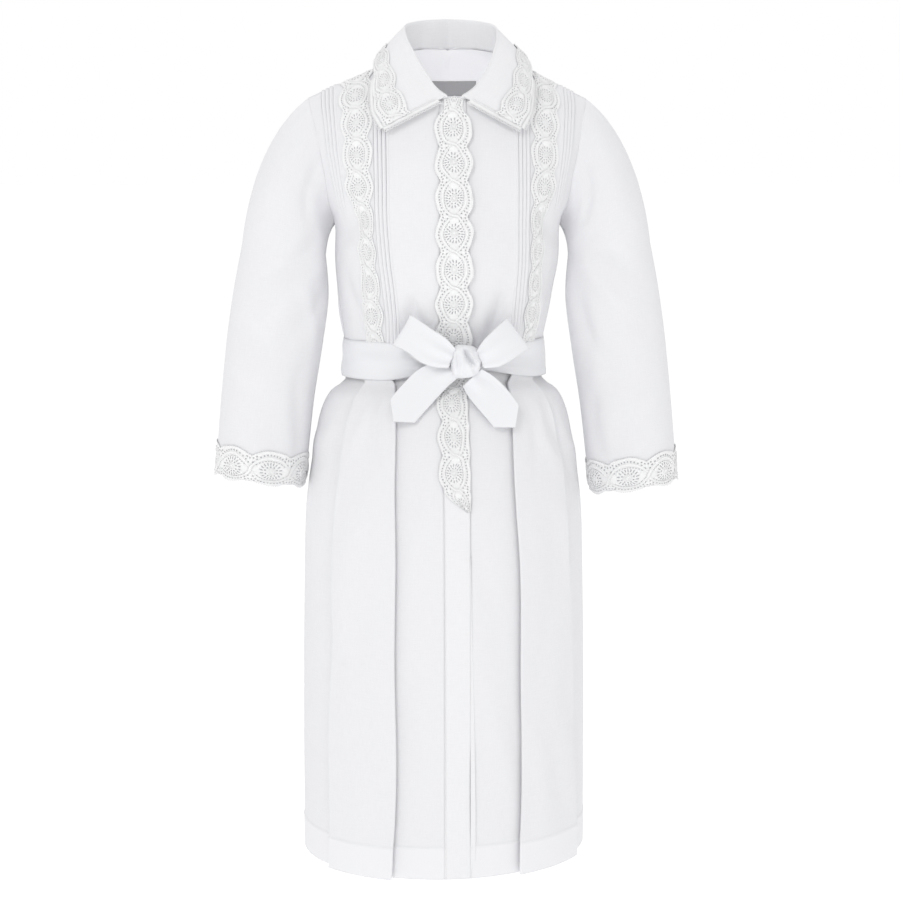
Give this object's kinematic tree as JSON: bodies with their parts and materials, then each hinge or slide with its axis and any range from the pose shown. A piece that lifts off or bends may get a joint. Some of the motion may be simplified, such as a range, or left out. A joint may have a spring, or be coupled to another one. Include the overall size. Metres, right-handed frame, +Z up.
{
  "type": "kittel",
  "caption": "Long white robe, held open as if worn, with collar, pintucks, lace strips, lace cuffs, sash tied in a bow and pleated skirt.",
  "frame": {"origin": "midway between the two neck points, at the height where the shoulders carry the robe", "axes": "+Z up the robe from hem to neck, +Y from its front to its back, +X towards the wearer's left"},
  "size_m": [0.6698, 0.327, 1.2016],
  "materials": {
    "cloth": "fine plain white linen and cotton cloth, matt, a little see-through",
    "lace": "white cotton lace with cords, bars and small holes",
    "sash": "smooth white cloth with a slight sheen",
    "label": "plain grey woven tape"
  },
  "bodies": {
    "root": {"front_right": "cloth", "front_left": "cloth", "back": "cloth", "button_band": "cloth", "under_band": "cloth", "collar": "cloth", "sleeve_right": "cloth", "sleeve_left": "cloth", "centre_lace": "lace", "side_lace_right": "lace", "side_lace_left": "lace", "collar_lace": "lace", "cuff_lace_right": "lace", "cuff_lace_left": "lace", "neck_label": "label", "sash_band": "sash", "sash_knot": "sash", "bow_loop_right": "sash", "bow_loop_left": "sash", "bow_tail_right": "sash", "bow_tail_left": "sash"}
  },
  "joints": []
}
